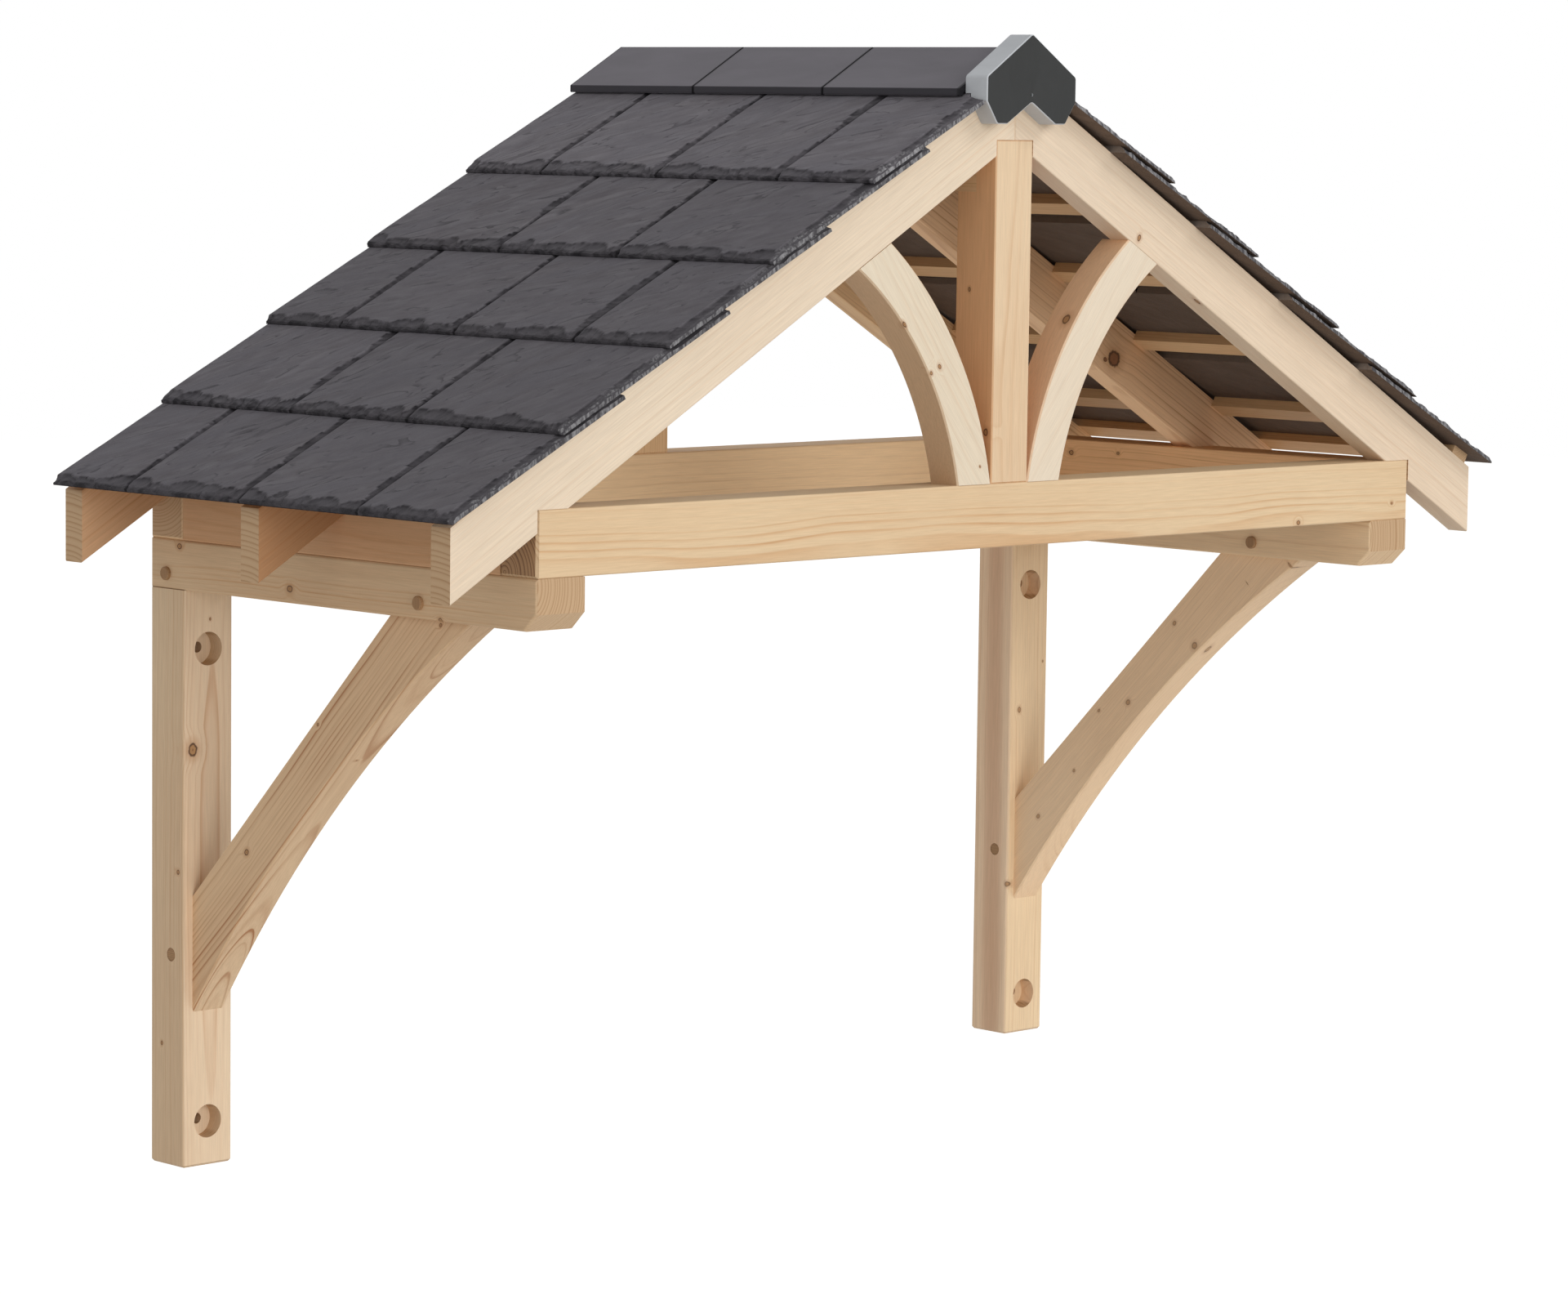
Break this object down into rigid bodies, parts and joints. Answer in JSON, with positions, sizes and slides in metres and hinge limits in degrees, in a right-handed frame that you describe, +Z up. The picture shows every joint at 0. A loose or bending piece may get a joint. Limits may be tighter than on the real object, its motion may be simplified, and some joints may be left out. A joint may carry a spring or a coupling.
{
  "type": "timber porch canopy",
  "caption": "Open timber porch canopy with a pitched slate roof, a king-post gable and curved gallows brackets that bolt to the wall beside a door.",
  "frame": {"origin": "middle of the rear tie beam's face against the wall", "axes": "+X along the wall to the right seen from the front, +Y into the wall, +Z up; the canopy stands on the -Y side"},
  "size_m": [2.4342, 0.985, 1.8563],
  "materials": {
    "timber": "planed and clear treated softwood, satin",
    "peg": "turned dowel, end grain",
    "batten": "sawn softwood",
    "slate": "moulded riven slate, matt",
    "ridge_tile": "smooth moulded, matt",
    "end_cap": "smooth moulded, matt"
  },
  "bodies": {
    "root": {"front_king_post": "timber", "front_left_rafter": "timber", "front_right_rafter": "timber", "front_tie_beam": "timber", "left_arch_brace": "timber", "left_arm": "timber", "left_battens": "batten", "left_brace": "timber", "left_bracket_pegs": "peg", "left_eaves_plate": "timber", "left_slates_1": "slate", "left_slates_2": "slate", "left_slates_3": "slate", "left_slates_4": "slate", "left_slates_5": "slate", "left_tilting_fillet": "batten", "left_wall_post": "timber", "middle_left_rafter": "timber", "middle_right_rafter": "timber", "rear_king_post": "timber", "rear_left_rafter": "timber", "rear_right_rafter": "timber", "rear_tie_beam": "timber", "ridge_beam": "timber", "ridge_end_cap": "end_cap", "ridge_tiles": "ridge_tile", "right_arch_brace": "timber", "right_arm": "timber", "right_battens": "batten", "right_brace": "timber", "right_bracket_pegs": "peg", "right_eaves_plate": "timber", "right_slates_1": "slate", "right_slates_2": "slate", "right_slates_3": "slate", "right_slates_4": "slate", "right_slates_5": "slate", "right_tilting_fillet": "batten", "right_wall_post": "timber"}
  },
  "joints": []
}
